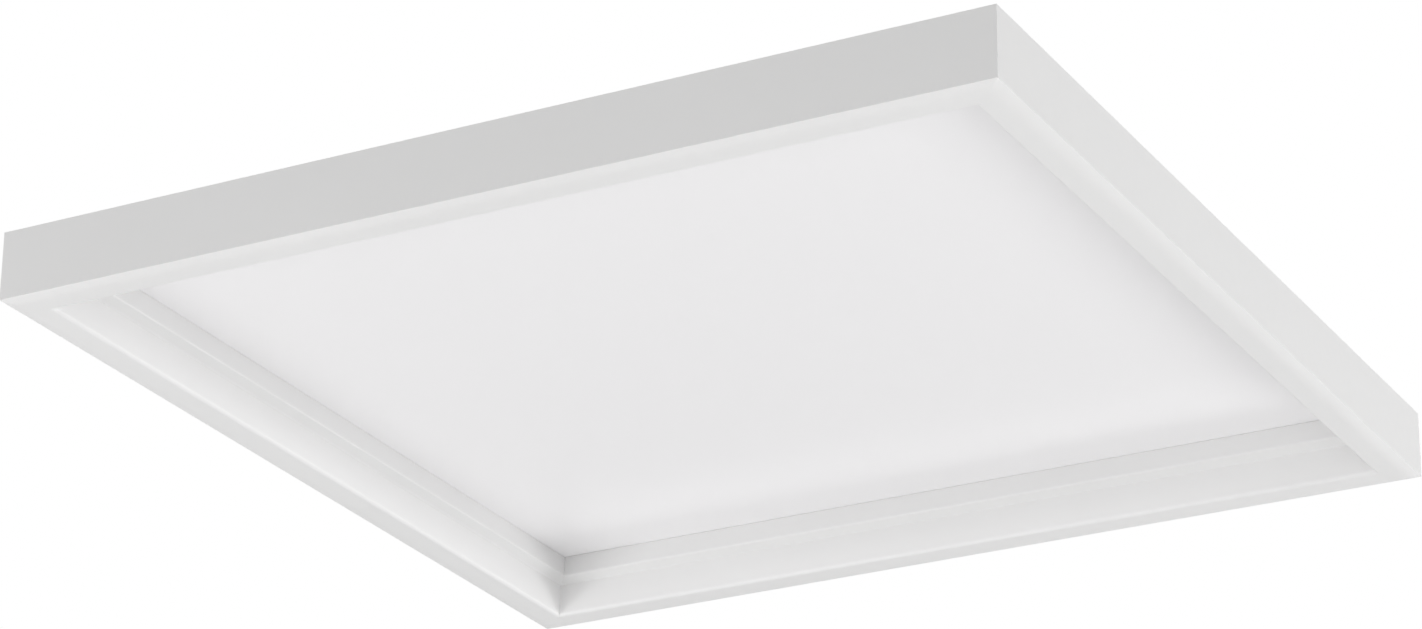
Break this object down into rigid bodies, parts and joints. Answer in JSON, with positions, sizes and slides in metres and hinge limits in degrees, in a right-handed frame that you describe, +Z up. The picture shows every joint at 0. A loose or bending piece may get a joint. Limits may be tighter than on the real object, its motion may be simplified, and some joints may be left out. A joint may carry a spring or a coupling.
{
  "type": "flush mount ceiling light",
  "caption": "Square flush mount ceiling light: a white stepped frame round an opal diffuser, with an edge-lit panel, a driver and a sprung mounting strap behind.",
  "frame": {"origin": "centre of the junction-box slots, on the ceiling plane", "axes": "+Z up into the ceiling, X and Y along the sides of the square frame, -Y the front side"},
  "size_m": [0.61, 0.61, 0.0675],
  "materials": {
    "frame_paint": "fine white powder coat, satin",
    "opal_acrylic": "opal acrylic sheet, satin face",
    "clear_acrylic": "clear acrylic with polished edges",
    "reflector_film": "white film",
    "pan_steel": "pre-painted steel sheet",
    "zinc_steel": "zinc-plated sheet",
    "zinc_screw": "zinc-plated fastener",
    "rivet_steel": "bright rivet",
    "spring_steel": "blued spring strip",
    "board_white": "white solder mask",
    "led_phosphor": "phosphor in a white package",
    "lead_jacket": "white flat twin lead",
    "white_nylon": "natural nylon",
    "foam": "closed-cell foam",
    "driver_plastic": "fine moulded texture",
    "board_green": "green solder mask",
    "ferrite": "sintered ferrite",
    "winding_tape": "yellow tape over the winding",
    "capacitor_can": "dark sleeve",
    "black_rubber": "moulded rubber",
    "ground_green": "green dyed zinc"
  },
  "bodies": {
    "bracket": {"ground_screw": "ground_green", "hanger_rail_left": "zinc_steel", "hanger_rail_right": "zinc_steel", "hanger_rivets": "rivet_steel", "mounting_strap": "zinc_steel", "retaining_spring_left_far": "spring_steel", "retaining_spring_left_near": "spring_steel", "retaining_spring_right_far": "spring_steel", "retaining_spring_right_near": "spring_steel", "spring_rivets": "rivet_steel"},
    "luminaire": {"back_pan": "pan_steel", "capacitors": "capacitor_can", "corner_key_back_left": "zinc_steel", "corner_key_back_right": "zinc_steel", "corner_key_front_left": "zinc_steel", "corner_key_front_right": "zinc_steel", "corner_key_screws": "zinc_screw", "diffuser": "opal_acrylic", "driver_base": "zinc_steel", "driver_board": "board_green", "driver_cover": "driver_plastic", "driver_nuts": "zinc_screw", "driver_screws": "zinc_screw", "edge_foam_back": "foam", "edge_foam_front": "foam", "frame_rail_back": "frame_paint", "frame_rail_front": "frame_paint", "frame_rail_left": "frame_paint", "frame_rail_right": "frame_paint", "inlet_bushing": "black_rubber", "inlet_terminal": "white_nylon", "led_board_left": "board_white", "led_board_right": "board_white", "led_lead_left": "lead_jacket", "led_lead_right": "lead_jacket", "led_packages_left": "led_phosphor", "led_packages_right": "led_phosphor", "led_plug_left": "white_nylon", "led_plug_right": "white_nylon", "light_guide": "clear_acrylic", "outlet_plug": "white_nylon", "pan_screws": "zinc_screw", "reflector_film": "reflector_film", "transformer_core": "ferrite", "transformer_winding": "winding_tape"}
  },
  "joints": [
    {"name": "body_drop", "type": "slide", "parent": "bracket", "child": "luminaire", "axis": [0, 0, -1], "range_m": [0, 0.06]}
  ]
}
